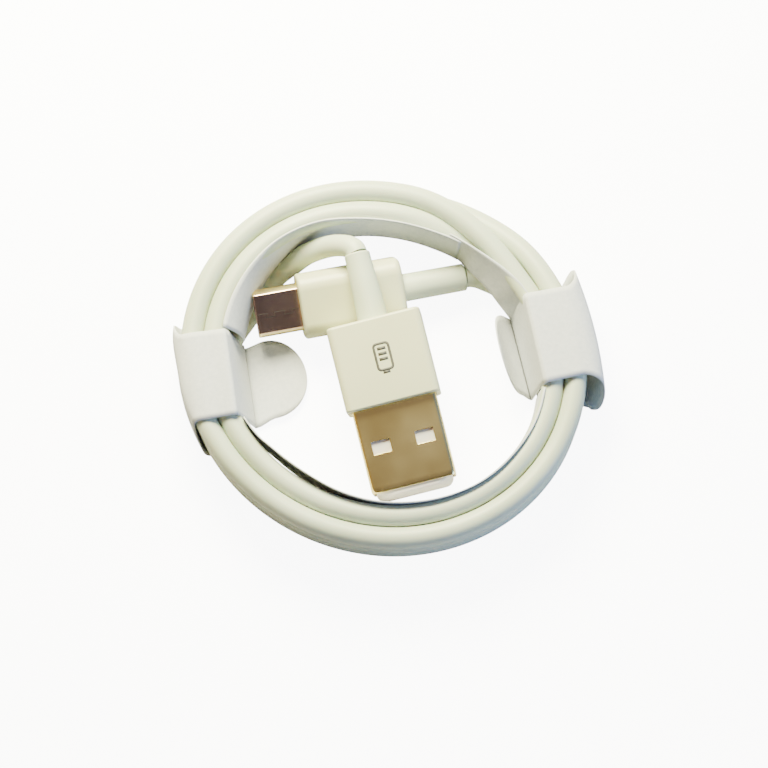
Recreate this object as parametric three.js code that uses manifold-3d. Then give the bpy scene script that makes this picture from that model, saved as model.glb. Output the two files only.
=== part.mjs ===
// A USB type-A to micro-B charging cable, coiled and held by a folded paper wrapper.
// Millimetres, +Z up. The origin is at the middle of the coil, on the surface it lies on.
// +X points to the right-hand fold of the paper, and the type-A plug points towards -Y.
import * as THREE from "three";
import { mergeVertices } from "three/addons/utils/BufferGeometryUtils.js";
import Module from "manifold-3d";

const wasm = await Module();
wasm.setup();

// ---------- driving dimensions ----------
const DEG = Math.PI / 180;
const GAP = 0.3; // room between pieces that touch
const FIT = 0.1; // room between pieces that sit inside each other

// Cord: the coil is three strands high and two wide.
const CORD_R = 1.55;
const COIL_OUTER_R = 27.41;
const COIL_INNER_R = 21.95;
const COIL_FOOT_R = 24; // the inner side tapers here, where the cord's free ends slip under it
const COIL_FOOT_TOP = 4.6;
const COIL_BOTTOM = 0.6;
const COIL_TOP = 9.9;
const COIL_CHAMFER = 1.2;
const OVAL = 0.0507; // share by which the coil is longer along its long axis
const OVAL_TURN = -31.4 * DEG;

// Type-A plug, in its own frame: +X to the tip, +Z up, origin on the housing's front face.
const A_PLACE = { at: [0.58, -6.27, 8.45], heading: -86, pitch: -5, roll: -5 };
const A_BODY = { length: 12.15, width: 13.4, height: 7, edge: 1 };
const A_TUBE = { length: 11.8, width: 12, height: 4.5, wall: 0.3, inside: 7, edge: 0.6 };
const A_WINDOW = { length: 1.85, width: 2.6, spacing: 6.2, fromTip: 5.3 };
const A_RELIEF = { length: 9.1, rootR: 2.25, endR: 1.85, lip: 0.15 };
const A_CONTACTS = [
  { y: 3.5, tip: 10.4 },
  { y: 1.0, tip: 9.4 },
  { y: -1.0, tip: 9.4 },
  { y: -3.5, tip: 10.4 },
];

// Micro-B plug, in the same kind of frame.
const B_PLACE = { at: [-10.07, 10.78, 4.9], heading: 181.7, pitch: 4, roll: 22 };
const B_BODY = { length: 15, width: 9.3, height: 6, edge: 2.3 };
const B_TUBE = { length: 6.4, width: 6.85, height: 1.8, wall: 0.25, inside: 5, bevel: 0.7 };
const B_RELIEF = { length: 8.6, rootR: 2.0, endR: 1.95, round: 0.2 };
const B_CONTACT_PITCH = 0.65;
const B_LATCH = { y: 2.4, width: 0.6, root: -4, hook: 4.3, drop: 0.3 };

// Paper wrapper: 0.3 thick here, so that each layer is a sound solid.
const PAPER = 0.3;
const BAND_BOTTOM = 0.45;
const BAND_TOP = 9.7;
const FLAP_DEPTH = 8.3;

// ---------- materials ----------
const finish = (color, roughness, metalness = 0) => () =>
  new THREE.MeshStandardMaterial({ color, roughness, metalness });
const whiteCord = finish(0xe9ebe2, 0.5);
const whiteAbs = finish(0xeceee2, 0.35);
const nickel = finish(0xc9bf9c, 0.2, 1);
const stainless = finish(0x9c8f88, 0.25, 1);
const gold = finish(0xd6b45a, 0.25, 1);
const tongueWhite = finish(0xf0efe6, 0.45);
const innerMould = finish(0xd8d6cc, 0.6);
const crimpSteel = finish(0xb8bcc0, 0.35, 1);
const paper = finish(0xeef0f2, 0.8);
const wireColours = [0xc0392b, 0xf2f2f2, 0x2e8b57, 0x2b2b2b];

// ---------- helpers ----------
const root = new THREE.Group();

function addMesh(parent, name, geometry, makeMaterial) {
  const mesh = new THREE.Mesh(geometry, makeMaterial());
  mesh.name = name;
  parent.add(mesh);
  return mesh;
}

// A geometry as a manifold-3d solid, and back.
function toSolid(geometry) {
  const bare = geometry.clone();
  bare.deleteAttribute("normal");
  bare.deleteAttribute("uv");
  const merged = mergeVertices(bare, 1e-4);
  return new wasm.Manifold(
    new wasm.Mesh({
      numProp: 3,
      vertProperties: new Float32Array(merged.attributes.position.array),
      triVerts: new Uint32Array(merged.index.array),
    }),
  );
}

function toGeometry(solid) {
  const mesh = solid.getMesh();
  const geometry = new THREE.BufferGeometry();
  geometry.setAttribute("position", new THREE.BufferAttribute(mesh.vertProperties, 3));
  geometry.setIndex(new THREE.BufferAttribute(mesh.triVerts, 1));
  return geometry;
}

function cut(geometry, ...tools) {
  return toGeometry(tools.reduce((solid, tool) => solid.subtract(toSolid(tool)), toSolid(geometry)));
}

function join(geometry, ...others) {
  return toGeometry(others.reduce((solid, other) => solid.add(toSolid(other)), toSolid(geometry)));
}

// A box by its lowest and highest corner.
function block([x0, y0, z0], [x1, y1, z1]) {
  const box = new THREE.BoxGeometry(x1 - x0, y1 - y0, z1 - z0);
  return box.translate((x0 + x1) / 2, (y0 + y1) / 2, (z0 + z1) / 2);
}

// A rectangle with rounded corners, centred, as a Shape.
function roundedRectangle(width, height, radius) {
  const w = width / 2;
  const h = height / 2;
  const shape = new THREE.Shape();
  shape.moveTo(-w + radius, -h);
  shape.lineTo(w - radius, -h);
  shape.absarc(w - radius, -h + radius, radius, -Math.PI / 2, 0);
  shape.lineTo(w, h - radius);
  shape.absarc(w - radius, h - radius, radius, 0, Math.PI / 2);
  shape.lineTo(-w + radius, h);
  shape.absarc(-w + radius, h - radius, radius, Math.PI / 2, Math.PI);
  shape.lineTo(-w, -h + radius);
  shape.absarc(-w + radius, -h + radius, radius, Math.PI, Math.PI * 1.5);
  return shape;
}

// A Shape drawn in Y and Z, pushed from x0 to x1.
function prismX(shape, x0, x1, curveSegments = 5) {
  const geometry = new THREE.ExtrudeGeometry(shape, {
    depth: x1 - x0,
    bevelEnabled: false,
    curveSegments,
  });
  geometry.rotateY(Math.PI / 2).rotateX(Math.PI / 2);
  return geometry.translate(x0, 0, 0);
}

// A closed profile of [x, radius] points, turned about the X axis.
function turnedX(profile, segments) {
  const points = profile.map(([x, radius]) => new THREE.Vector2(radius, x));
  return new THREE.LatheGeometry([...points, points[0].clone()], segments).rotateZ(-Math.PI / 2);
}

// A tube of a few sides along a curve.
function tubeAlong(curve, radius, sides, steps) {
  const section = new THREE.Shape();
  for (let i = 0; i < sides; i++) {
    const angle = (2 * Math.PI * i) / sides;
    const point = [radius * Math.cos(angle), radius * Math.sin(angle)];
    if (i === 0) section.moveTo(...point);
    else section.lineTo(...point);
  }
  return new THREE.ExtrudeGeometry(section, { extrudePath: curve, steps, bevelEnabled: false });
}

const curveThrough = (points) =>
  new THREE.CatmullRomCurve3(points.map((p) => new THREE.Vector3(...p)), false, "centripetal");

// The plug's group: +X turned to its heading, its tip raised by pitch, its right side by roll.
function plugGroup({ at, heading, pitch, roll }) {
  const group = new THREE.Group();
  group.position.set(...at);
  group.rotation.set(-roll * DEG, -pitch * DEG, heading * DEG, "ZYX");
  root.add(group);
  return group;
}

// A point on an oval about the origin, with the coil's proportions.
function onOval(radius, angle) {
  const long = radius * (1 + OVAL);
  const short = radius * (1 - OVAL);
  const a = angle - OVAL_TURN;
  const x = long * Math.cos(a);
  const y = short * Math.sin(a);
  const c = Math.cos(OVAL_TURN);
  const s = Math.sin(OVAL_TURN);
  return [x * c - y * s, x * s + y * c];
}

// ---------- cord ----------
function coilRing() {
  const c = COIL_CHAMFER;
  const profile = [
    [COIL_FOOT_R, COIL_BOTTOM],
    [COIL_OUTER_R - c, COIL_BOTTOM],
    [COIL_OUTER_R, COIL_BOTTOM + c],
    [COIL_OUTER_R, COIL_TOP - c],
    [COIL_OUTER_R - c, COIL_TOP],
    [COIL_INNER_R + 2 * c, COIL_TOP],
    [COIL_INNER_R, COIL_TOP - 2 * c],
    [COIL_INNER_R, COIL_FOOT_TOP],
    [COIL_FOOT_R, COIL_BOTTOM],
  ].map(([r, z]) => new THREE.Vector2(r, z));
  const ring = new THREE.LatheGeometry(profile, 48).rotateX(Math.PI / 2);
  return ring.scale(1 + OVAL, 1 - OVAL, 1).rotateZ(OVAL_TURN);
}

// The cord's two free ends, from each strain relief to the coil.
const TYPE_A_LEAD = [
  [-0.94, 15.45, 10.35],
  [-1.2, 16.3, 10.2],
  [-2.1, 17.1, 9.6],
  [-3.9, 17.9, 8.1],
  [-5.9, 18.25, 6.4],
  [-7.9, 18.2, 4.9],
  [-10, 17.6, 3.2],
  [-12, 16.9, 2.1],
  [-14.7, 15.1, 1.62],
  [-16.6, 12.9, 1.6],
  [-17.4, 11.6, 1.6],
];
const MICRO_B_LEAD = [
  [14.0, 11.5, 3.2],
  [14.9, 11.45, 3.0],
  [15.9, 11.2, 2.6],
  [16.7, 10.8, 2.3],
];

addMesh(root, "cable_coil", coilRing(), whiteCord);
addMesh(root, "type_a_lead", tubeAlong(curveThrough(TYPE_A_LEAD), CORD_R, 8, 12), whiteCord);
addMesh(root, "micro_b_lead", tubeAlong(curveThrough(MICRO_B_LEAD), CORD_R, 8, 4), whiteCord);

// ---------- pieces that both plugs have ----------
// A strain relief: a sleeve that starts behind the housing and tapers to the cord.
function reliefSleeve(start, { length, rootR, endR, lip = 0, round = 0 }) {
  const end = start - length;
  const bore = CORD_R + FIT;
  const profile = [
    [start, bore],
    [end, bore],
    [end, endR + lip - round],
    [end + 0.45, endR + lip],
    [end + 0.9, endR],
    [start - 0.6, rootR],
    [start, rootR],
  ];
  return turnedX(profile, 20);
}

// The cord's end, through the strain relief and into the housing.
function cordEnd(from, to) {
  const cylinder = new THREE.CylinderGeometry(CORD_R, CORD_R, from - to, 16);
  return cylinder.rotateZ(Math.PI / 2).translate((from + to) / 2, 0, 0);
}

// A clamp ring crimped round the cord.
const crimpRing = (x) =>
  turnedX(
    [
      [x, CORD_R + FIT],
      [x, CORD_R + 0.45],
      [x + 1, CORD_R + 0.45],
      [x + 1, CORD_R + FIT],
    ],
    16,
  );

// A wire inside the plug, from the end of the cord to its contact.
function wire(fromX, fromY, fromZ, toX, toY, toZ) {
  const middle = (fromX + toX) / 2;
  const curve = curveThrough([
    [fromX, fromY, fromZ],
    [fromX + 0.5, fromY, fromZ],
    [middle, (fromY + toY) / 2, (fromZ + toZ) / 2],
    [toX - 0.5, toY, toZ],
    [toX, toY, toZ],
  ]);
  return tubeAlong(curve, 0.3, 6, 8);
}

// ---------- type-A plug ----------
const plugA = plugGroup(A_PLACE);

function typeAHousing() {
  const outline = roundedRectangle(A_BODY.width, A_BODY.height, A_BODY.edge);
  const mouth = roundedRectangle(A_TUBE.width + 2 * FIT, A_TUBE.height + 2 * FIT, A_TUBE.edge);
  const body = prismX(outline, -A_BODY.length, 0);
  const front = prismX(mouth, -11, 1);
  const rear = cordEnd(-10, -13).scale(1, 1.42, 1.42);
  return cut(body, front, rear);
}

function typeATube() {
  const { length, width, height, wall, inside, edge } = A_TUBE;
  const outline = roundedRectangle(width, height, edge);
  const hollow = roundedRectangle(width - 2 * wall, height - 2 * wall, edge / 2);
  const tube = prismX(outline, -inside, length);
  const bore = prismX(hollow, -inside - 1, length + 1);
  const near = length - A_WINDOW.fromTip;
  const far = near - A_WINDOW.length;
  const windows = [1, -1].map((side) => {
    const y = (side * A_WINDOW.spacing) / 2;
    const half = A_WINDOW.width / 2;
    return block([far, y - half, -height], [near, y + half, height]);
  });
  return cut(tube, bore, ...windows);
}

const A_TONGUE_TOP = A_TUBE.height / 2 - A_TUBE.wall - FIT;
const A_CONTACT_Z = -0.1;

function typeAInsulator() {
  const half = A_TUBE.width / 2 - A_TUBE.wall - 2 * FIT;
  const tip = A_TUBE.length + 0.6;
  const corner = 1.5;
  const outline = new THREE.Shape();
  outline.moveTo(-6.4, -half);
  outline.lineTo(tip - corner, -half);
  outline.lineTo(tip, -half + corner);
  outline.lineTo(tip, half - corner);
  outline.lineTo(tip - corner, half);
  outline.lineTo(-6.4, half);
  const depth = 2 * A_TONGUE_TOP;
  const body = new THREE.ExtrudeGeometry(outline, { depth, bevelEnabled: false });
  body.translate(0, 0, -A_TONGUE_TOP);
  const mouth = block([2.2, -half - 1, -3], [tip + 1, half + 1, A_CONTACT_Z + 0.2]);
  const slotTop = A_CONTACT_Z + 0.2;
  const slots = A_CONTACTS.map(({ y }) => block([-7, y - 0.65, -0.35], [3, y + 0.65, slotTop]));
  return cut(body, mouth, ...slots);
}

// Each contact is a long strip under the tongue that ends behind it as a solder tail.
const typeAContact = ({ y, tip }) =>
  block([-8.6, y - 0.5, A_CONTACT_Z - 0.12], [tip, y + 0.5, A_CONTACT_Z + 0.12]);

// The inner mould closes the tube's back, and leaves a pocket for the wires.
function typeAInnerMould() {
  const body = block([-10.7, -5.6, -1.95], [-7.2, 5.6, 1.95]);
  const pocket = block([-10.2, -5, -1.5], [-7, 5, 1.5]);
  const hole = cordEnd(-9, -12);
  return cut(body, pocket, hole);
}

addMesh(plugA, "type_a_housing", typeAHousing(), whiteAbs);
addMesh(plugA, "type_a_metal_tube", typeATube(), nickel);
addMesh(plugA, "type_a_insulator", typeAInsulator(), tongueWhite);
addMesh(plugA, "type_a_inner_mould", typeAInnerMould(), innerMould);
addMesh(plugA, "type_a_strain_relief", reliefSleeve(-A_BODY.length - FIT, A_RELIEF), whiteCord);
addMesh(plugA, "type_a_cord_end", cordEnd(-11.1, -A_BODY.length - A_RELIEF.length), whiteCord);
addMesh(plugA, "type_a_crimp_ring", crimpRing(-A_BODY.length + FIT), crimpSteel);
A_CONTACTS.forEach((contact, i) => {
  addMesh(plugA, `type_a_contact_${i + 1}`, typeAContact(contact), gold);
  const start = 0.6 * (1.5 - i);
  const tube = wire(-11, start, 0.45, -7.4, contact.y, A_CONTACT_Z + 0.55);
  addMesh(plugA, `type_a_wire_${i + 1}`, tube, finish(wireColours[i], 0.5));
});

// ---------- micro-B plug ----------
const plugB = plugGroup(B_PLACE);

function microBHousing() {
  const body = prismX(roundedRectangle(B_BODY.width, B_BODY.height, B_BODY.edge), -B_BODY.length, 0, 6);
  const front = prismX(tubeOutline(FIT), -13.2, 1);
  const rear = cordEnd(-12, -16).scale(1, 1.25, 1.25);
  return cut(body, front, rear);
}

// The metal tube's outline: a flat wide face below, and a narrower face above two bevels.
function tubeOutline(grow) {
  const w = B_TUBE.width / 2 + grow;
  const h = B_TUBE.height / 2 + grow;
  const bevel = B_TUBE.bevel;
  const shape = new THREE.Shape();
  shape.moveTo(-w, -h);
  shape.lineTo(w, -h);
  shape.lineTo(w, h - 1.1);
  shape.lineTo(w - bevel, h);
  shape.lineTo(-w + bevel, h);
  shape.lineTo(-w, h - 1.1);
  return shape;
}

function microBTube() {
  const { length, inside, wall } = B_TUBE;
  const tube = prismX(tubeOutline(0), -inside, length);
  const bore = prismX(tubeOutline(-wall), -inside - 1, length + 1);
  const slots = [1, -1].map((side) => {
    const y = side * B_LATCH.y;
    return block([3.3, y - 0.5, -2], [5.2, y + 0.5, -0.5]);
  });
  return cut(tube, bore, ...slots);
}

// The insulator: a full block at the root, and a thin tongue over the wide face.
function microBInsulator() {
  const body = block([-4.8, -1.9, -0.55], [5.8, 1.9, 0.52]);
  const mouth = block([0.6, -3, -0.2], [7, 3, 2]);
  const slots = [-2, -1, 0, 1, 2].map((i) => {
    const y = i * B_CONTACT_PITCH;
    return block([-6, y - 0.23, -0.2], [1, y + 0.23, 0.1]);
  });
  return cut(body, mouth, ...slots);
}

const microBContact = (i) => {
  const y = i * B_CONTACT_PITCH;
  return block([-6.4, y - 0.15, -0.13], [5, y + 0.15, 0]);
};

// A latch: a flat spring along the insulator whose hook stands out of the wide face.
function microBLatch(side) {
  const { y, width, root: back, hook, drop } = B_LATCH;
  const y0 = side * y - width / 2;
  const y1 = y0 + width;
  const strip = block([back, y0, -0.5], [hook + 0.6, y1, -0.32]);
  const face = B_TUBE.height / 2;
  const nose = block([hook - 0.4, y0, -face - drop], [hook + 0.4, y1, -0.4]);
  return join(strip, nose);
}

function microBInnerMould() {
  const body = block([-12.9, -3, -0.85], [-6.9, 3, 0.4]);
  const pocket = block([-12.3, -2.6, -0.5], [-6.7, 2.6, 0.25]);
  const back = block([-13.5, -1.3, -0.4], [-12, 1.3, 0.15]);
  return cut(body, pocket, back);
}

addMesh(plugB, "micro_b_housing", microBHousing(), whiteAbs);
addMesh(plugB, "micro_b_metal_tube", microBTube(), stainless);
addMesh(plugB, "micro_b_insulator", microBInsulator(), tongueWhite);
addMesh(plugB, "micro_b_inner_mould", microBInnerMould(), innerMould);
addMesh(plugB, "micro_b_strain_relief", reliefSleeve(-B_BODY.length - FIT, B_RELIEF), whiteCord);
addMesh(plugB, "micro_b_cord_end", cordEnd(-13.4, -B_BODY.length - B_RELIEF.length), whiteCord);
[-2, -1, 0, 1, 2].forEach((place, i) => {
  addMesh(plugB, `micro_b_contact_${i + 1}`, microBContact(place), gold);
});
// Four wires, to contacts 1, 2, 3 and 5; contact 4 has none.
[-2, -1, 0, 2].forEach((place, i) => {
  const curve = curveThrough([
    [-13.3, (i - 1.5) * 0.5, -0.12],
    [-12.4, (i - 1.5) * 0.5, -0.12],
    [-9, place * B_CONTACT_PITCH, -0.07],
    [-6.6, place * B_CONTACT_PITCH, -0.07],
  ]);
  addMesh(plugB, `micro_b_wire_${i + 1}`, tubeAlong(curve, 0.2, 6, 8), finish(wireColours[i], 0.5));
});
addMesh(plugB, "micro_b_latch_left", microBLatch(1), stainless);
addMesh(plugB, "micro_b_latch_right", microBLatch(-1), stainless);

// ---------- paper wrapper ----------
// A strip of paper along an arc of the coil's inner side. It leans by the difference
// between its radius at the top and at the bottom.
function bandArc(fromDeg, toDeg, topR, bottomR, bottomZ, steps) {
  const points = [];
  const middleR = (topR + bottomR) / 2;
  for (let i = 0; i <= steps; i++) {
    const angle = (fromDeg + ((toDeg - fromDeg) * i) / steps) * DEG;
    points.push([...onOval(middleR, angle), 0]);
  }
  // The section lies in the plane across the path: its x runs down and its y runs inwards.
  const lean = (topR - bottomR) / 2;
  const t = PAPER / 2;
  const section = new THREE.Shape();
  section.moveTo(-BAND_TOP, -lean - t);
  section.lineTo(-bottomZ, lean - t);
  section.lineTo(-bottomZ, lean + t);
  section.lineTo(-BAND_TOP, -lean + t);
  const curve = curveThrough(points);
  return new THREE.ExtrudeGeometry(section, { extrudePath: curve, steps, bevelEnabled: false });
}

addMesh(root, "paper_band_back", bandArc(54, 110, 21.5, 21.5, BAND_BOTTOM, 16), paper);
addMesh(root, "paper_band_left_end", bandArc(110.8, 156, 21.5, 21.5, 5, 12), paper);
addMesh(root, "paper_band_overlap", bandArc(19, 53, 20.9, 20.3, 5.1, 10), paper);
addMesh(root, "paper_band_front", bandArc(-163, -22, 20.4, 20.4, BAND_BOTTOM, 32), paper);

// A strip of even thickness along a polyline of [x, z] points, pushed along Y.
function foldedStrip(points, y0, y1) {
  const line = points.map(([x, z]) => new THREE.Vector2(x, z));
  const left = [];
  const right = [];
  line.forEach((p, i) => {
    const before = line[Math.max(i - 1, 0)];
    const after = line[Math.min(i + 1, line.length - 1)];
    const into = p.clone().sub(before).normalize();
    const out = after.clone().sub(p).normalize();
    if (i === 0) into.copy(out);
    if (i === line.length - 1) out.copy(into);
    const along = into.clone().add(out).normalize();
    const across = new THREE.Vector2(-along.y, along.x);
    const reach = PAPER / 2 / across.dot(new THREE.Vector2(-into.y, into.x));
    left.push(p.clone().addScaledVector(across, reach));
    right.push(p.clone().addScaledVector(across, -reach));
  });
  const shape = new THREE.Shape([...left, ...right.reverse()]);
  const strip = new THREE.ExtrudeGeometry(shape, { depth: y1 - y0, bevelEnabled: false });
  return strip.rotateX(Math.PI / 2).translate(0, y1, 0);
}

// One side of the wrapper: up the inner wall, over the coil, down outside and back under it.
function wrap(side, { foldX, footX, shoulderX, wallX, bulge }, y0, y1) {
  const points = [
    [footX, 0.85],
    [foldX - 0.1, COIL_TOP - 0.1],
    [foldX + 0.25, COIL_TOP + 0.4],
    [shoulderX, COIL_TOP + 0.4],
    [wallX - 0.35, COIL_TOP - 0.1],
    [wallX + bulge, 6.5],
    [wallX + bulge, 3],
    [wallX - 0.3, 0.5],
    [wallX - 1, PAPER / 2],
    [footX + 0.35, PAPER / 2],
  ].map(([x, z]) => [side * x, z]);
  return foldedStrip(points, y0, y1);
}

const LEFT = { foldX: 21.25, footX: 19.2, shoulderX: 27.2, wallX: 28.5, bulge: 0.2 };
const RIGHT = { foldX: 21.1, footX: 20, shoulderX: 27.3, wallX: 28.9, bulge: 0.7 };
addMesh(root, "left_wrap", wrap(-1, LEFT, -4.3, 8.3), paper);
addMesh(root, "right_wrap", wrap(1, RIGHT, -7.1, 5.4), paper);

// A tuck flap: a rounded tongue of paper, hinged at the wrap's inner foot.
function tuckFlap(halfWidth) {
  const shape = new THREE.Shape();
  shape.moveTo(0, -halfWidth);
  shape.lineTo(2.6, -halfWidth + 0.3);
  shape.bezierCurveTo(5.6, -halfWidth + 1, FLAP_DEPTH, -3.2, FLAP_DEPTH, 0);
  shape.bezierCurveTo(FLAP_DEPTH, 3.2, 5.8, halfWidth, 3, halfWidth);
  shape.lineTo(0, halfWidth);
  return new THREE.ExtrudeGeometry(shape, { depth: PAPER, bevelEnabled: false, curveSegments: 8 });
}

const leftFlap = new THREE.Group();
leftFlap.position.set(-LEFT.footX + 0.45, 1.5, 0.3);
root.add(leftFlap);
addMesh(leftFlap, "left_tuck_flap", tuckFlap(5.9), paper);

const RIGHT_FLAP_RISE = 66 * DEG;
const rightFlap = new THREE.Group();
rightFlap.position.set(RIGHT.footX - 0.4, -1, 0.4);
rightFlap.rotation.set(0, -RIGHT_FLAP_RISE, Math.PI, "ZYX");
root.add(rightFlap);
addMesh(rightFlap, "right_tuck_flap", tuckFlap(5.9), paper);

export default root;
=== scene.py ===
# %% [markdown]
# # A coiled charging cable in its paper wrapper
# The CAD model gives the frame: every piece below is built in the same place and at the same size.
# Lengths in this file are in millimetres, and each mesh is turned to metres when it is made.

# %% Load the frame
import math

import bmesh
import bpy
from mathutils import Matrix, Vector


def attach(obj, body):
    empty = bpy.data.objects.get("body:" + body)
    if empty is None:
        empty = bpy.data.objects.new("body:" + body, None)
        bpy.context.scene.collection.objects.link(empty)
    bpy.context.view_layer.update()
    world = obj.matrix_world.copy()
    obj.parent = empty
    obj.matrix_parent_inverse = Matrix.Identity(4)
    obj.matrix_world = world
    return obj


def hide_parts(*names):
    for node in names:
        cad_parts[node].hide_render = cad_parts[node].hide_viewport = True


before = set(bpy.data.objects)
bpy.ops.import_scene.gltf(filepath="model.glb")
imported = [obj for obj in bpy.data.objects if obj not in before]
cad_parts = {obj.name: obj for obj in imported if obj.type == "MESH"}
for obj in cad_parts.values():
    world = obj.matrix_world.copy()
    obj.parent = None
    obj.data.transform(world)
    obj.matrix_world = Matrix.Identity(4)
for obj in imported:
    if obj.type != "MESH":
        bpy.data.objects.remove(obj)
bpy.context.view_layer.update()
MM = 0.001
DEG = math.pi / 180
ROOT = "wrapped_cable"
print("nodes in the frame:", len(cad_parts))

# %% [markdown]
# ## Camera
# The cable lies on a table and is seen almost from above, from a little way in front. A long lens
# keeps the coil nearly free of perspective, as it is when a small object fills the view.

# %% Camera
VIEW_YAW = -10 * DEG
VIEW_RISE = 77 * DEG
VIEW_DISTANCE = 350
VIEW_TARGET = Vector((-0.22, -2.42, 5))


def look_from(yaw, rise, distance, target):
    right = Vector((math.cos(yaw), math.sin(yaw), 0))
    level = Vector((-math.sin(yaw), math.cos(yaw), 0))
    forward = level * math.cos(rise) - Vector((0, 0, math.sin(rise)))
    up = right.cross(forward)
    place = (target - forward * distance) * MM
    turn = Matrix((right, up, -forward)).transposed()
    return Matrix.Translation(place) @ turn.to_4x4()


camera_data = bpy.data.cameras.new("camera")
camera_data.lens = 116.3
camera_data.sensor_width = 36
camera_data.clip_start = 0.01
camera = bpy.data.objects.new("camera", camera_data)
bpy.context.scene.collection.objects.link(camera)
camera.matrix_world = look_from(VIEW_YAW, VIEW_RISE, VIEW_DISTANCE, VIEW_TARGET)
bpy.context.scene.camera = camera

# %% [markdown]
# ## Helpers for materials
# A material is a small network of nodes. One function adds a node with its settings and its links,
# and one turns a colour written as a hex value into the linear values that Blender mixes.


# %% Material helpers
def linear(colour):
    values = [int(colour[i : i + 2], 16) / 255 for i in (1, 3, 5)]
    return [v / 12.92 if v <= 0.04045 else ((v + 0.055) / 1.055) ** 2.4 for v in values] + [1]


def add_node(tree, kind, inputs=(), **settings):
    node = tree.nodes.new(kind)
    for key, value in settings.items():
        setattr(node, key, value)
    for key, value in dict(inputs).items():
        if isinstance(value, bpy.types.NodeSocket):
            tree.links.new(value, node.inputs[key])
        else:
            node.inputs[key].default_value = value
    return node


def start_material(name, **principled):
    material = bpy.data.materials.new(name)
    material.use_nodes = True
    tree = material.node_tree
    tree.nodes.clear()
    settings = {key.replace("_", " "): value for key, value in principled.items()}
    shader = add_node(tree, "ShaderNodeBsdfPrincipled", settings)
    add_node(tree, "ShaderNodeOutputMaterial", {"Surface": shader.outputs[0]})
    return material, tree, shader


def object_noise(tree, scale, detail=3, stretch=(1, 1, 1), turn=0):
    place = add_node(tree, "ShaderNodeTexCoord")
    mapping = add_node(
        tree,
        "ShaderNodeMapping",
        {"Vector": place.outputs["Object"], "Scale": stretch, "Rotation": (0, 0, turn)},
    )
    return add_node(
        tree,
        "ShaderNodeTexNoise",
        {"Vector": mapping.outputs[0], "Scale": scale, "Detail": detail, "Roughness": 0.55},
    )


def two_tones(tree, factor, low, high, from_min=0.3, from_max=0.7):
    ramp = add_node(tree, "ShaderNodeValToRGB", {"Fac": factor})
    ramp.color_ramp.elements[0].position = from_min
    ramp.color_ramp.elements[1].position = from_max
    ramp.color_ramp.elements[0].color = linear(low)
    ramp.color_ramp.elements[1].color = linear(high)
    return ramp.outputs["Color"]


def spread(tree, factor, low, high, from_min=0.25, from_max=0.75):
    values = {"Value": factor, 1: from_min, 2: from_max, 3: low, 4: high}
    return add_node(tree, "ShaderNodeMapRange", values).outputs[0]


def bumps(tree, height, strength, distance):
    values = {"Height": height, "Strength": strength, "Distance": distance}
    return add_node(tree, "ShaderNodeBump", values).outputs[0]


def wire_up(tree, shader, **inputs):
    for key, socket in inputs.items():
        tree.links.new(socket, shader.inputs[key.replace("_", " ")])


# %% [markdown]
# ## White plastics
# The cord's jacket and the two strain reliefs are a soft thermoplastic with a satin skin. The
# housings are moulded ABS, harder and a little glossier. White plastic lets a little light in
# before it scatters, so each has some subsurface, and a very fine bump breaks up the highlight.


# %% White plastics
def satin_tpe_extruded():
    material, tree, shader = start_material(
        "satin_white_tpe_extruded",
        Roughness=0.42,
        IOR=1.5,
        Subsurface_Weight=0.12,
        Subsurface_Scale=0.0006,
    )
    tone = object_noise(tree, 90, 2)
    grain = object_noise(tree, 5200, 3)
    wire_up(
        tree,
        shader,
        Base_Color=two_tones(tree, tone.outputs[0], "#c3ccb3", "#ced6bf"),
        Roughness=spread(tree, grain.outputs[0], 0.38, 0.5),
        Normal=bumps(tree, grain.outputs[0], 0.12, 0.00002),
    )
    return material


def abs_moulded(name, low, high, roughness):
    material, tree, shader = start_material(
        name, IOR=1.53, Subsurface_Weight=0.08, Subsurface_Scale=0.0005
    )
    tone = object_noise(tree, 70, 2)
    grain = object_noise(tree, 7000, 2)
    wire_up(
        tree,
        shader,
        Base_Color=two_tones(tree, tone.outputs[0], low, high),
        Roughness=spread(tree, grain.outputs[0], roughness, roughness + 0.1),
        Normal=bumps(tree, grain.outputs[0], 0.1, 0.00001),
    )
    return material


CORD_WHITE = satin_tpe_extruded()
HOUSING_WHITE = abs_moulded("white_abs_moulded", "#cdcfa9", "#d6d7b3", 0.3)
TONGUE_WHITE = abs_moulded("white_pbt_insulator", "#dad4ce", "#e2dcd6", 0.38)
INNER_WHITE = abs_moulded("natural_pe_inner_mould", "#dcd9cc", "#e6e3d8", 0.5)


# %% [markdown]
# ## Metals
# The type-A tube is pressed steel with bright nickel plate. Its warm gold base colour is a painted
# reflection of the room's warm light.
# Use leaves a few hairline scratches: a noise is stretched into long streaks, and only its highest
# values are kept, so that each streak is thin and stands alone. The micro-B tube is stainless
# sheet: the pinkish brown of its flat faces is a painted reflection of a maroon table top, and its
# sides and bevels take the warm nickel colour as a painted highlight. Metals keep the default IOR.


# %% Metals
def plated_metal(name, low, high, roughness, scratch):
    material, tree, shader = start_material(name, Metallic=1.0)
    cloud = object_noise(tree, 110, 2)
    hairline = object_noise(tree, 420, 1, (0.35, 9, 1), 0.7)
    cut = spread(tree, hairline.outputs[0], 0.0, 1.0, 0.68, 0.74)
    wire_up(
        tree,
        shader,
        Base_Color=two_tones(tree, cloud.outputs[0], low, high),
        Roughness=spread(tree, cloud.outputs[0], roughness, roughness + 0.08, 0.3, 0.7),
        Normal=bumps(tree, cut, scratch, 0.000006),
    )
    return material


# The nickel's warm gold base colour is a painted reflection of warm light, not the plate's own
# colour.
WARM_PAINTED_NICKEL = plated_metal("nickel_plated_steel_painted_warm_reflection", "#f4dd92", "#fcebac", 0.2, 0.35)
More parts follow.
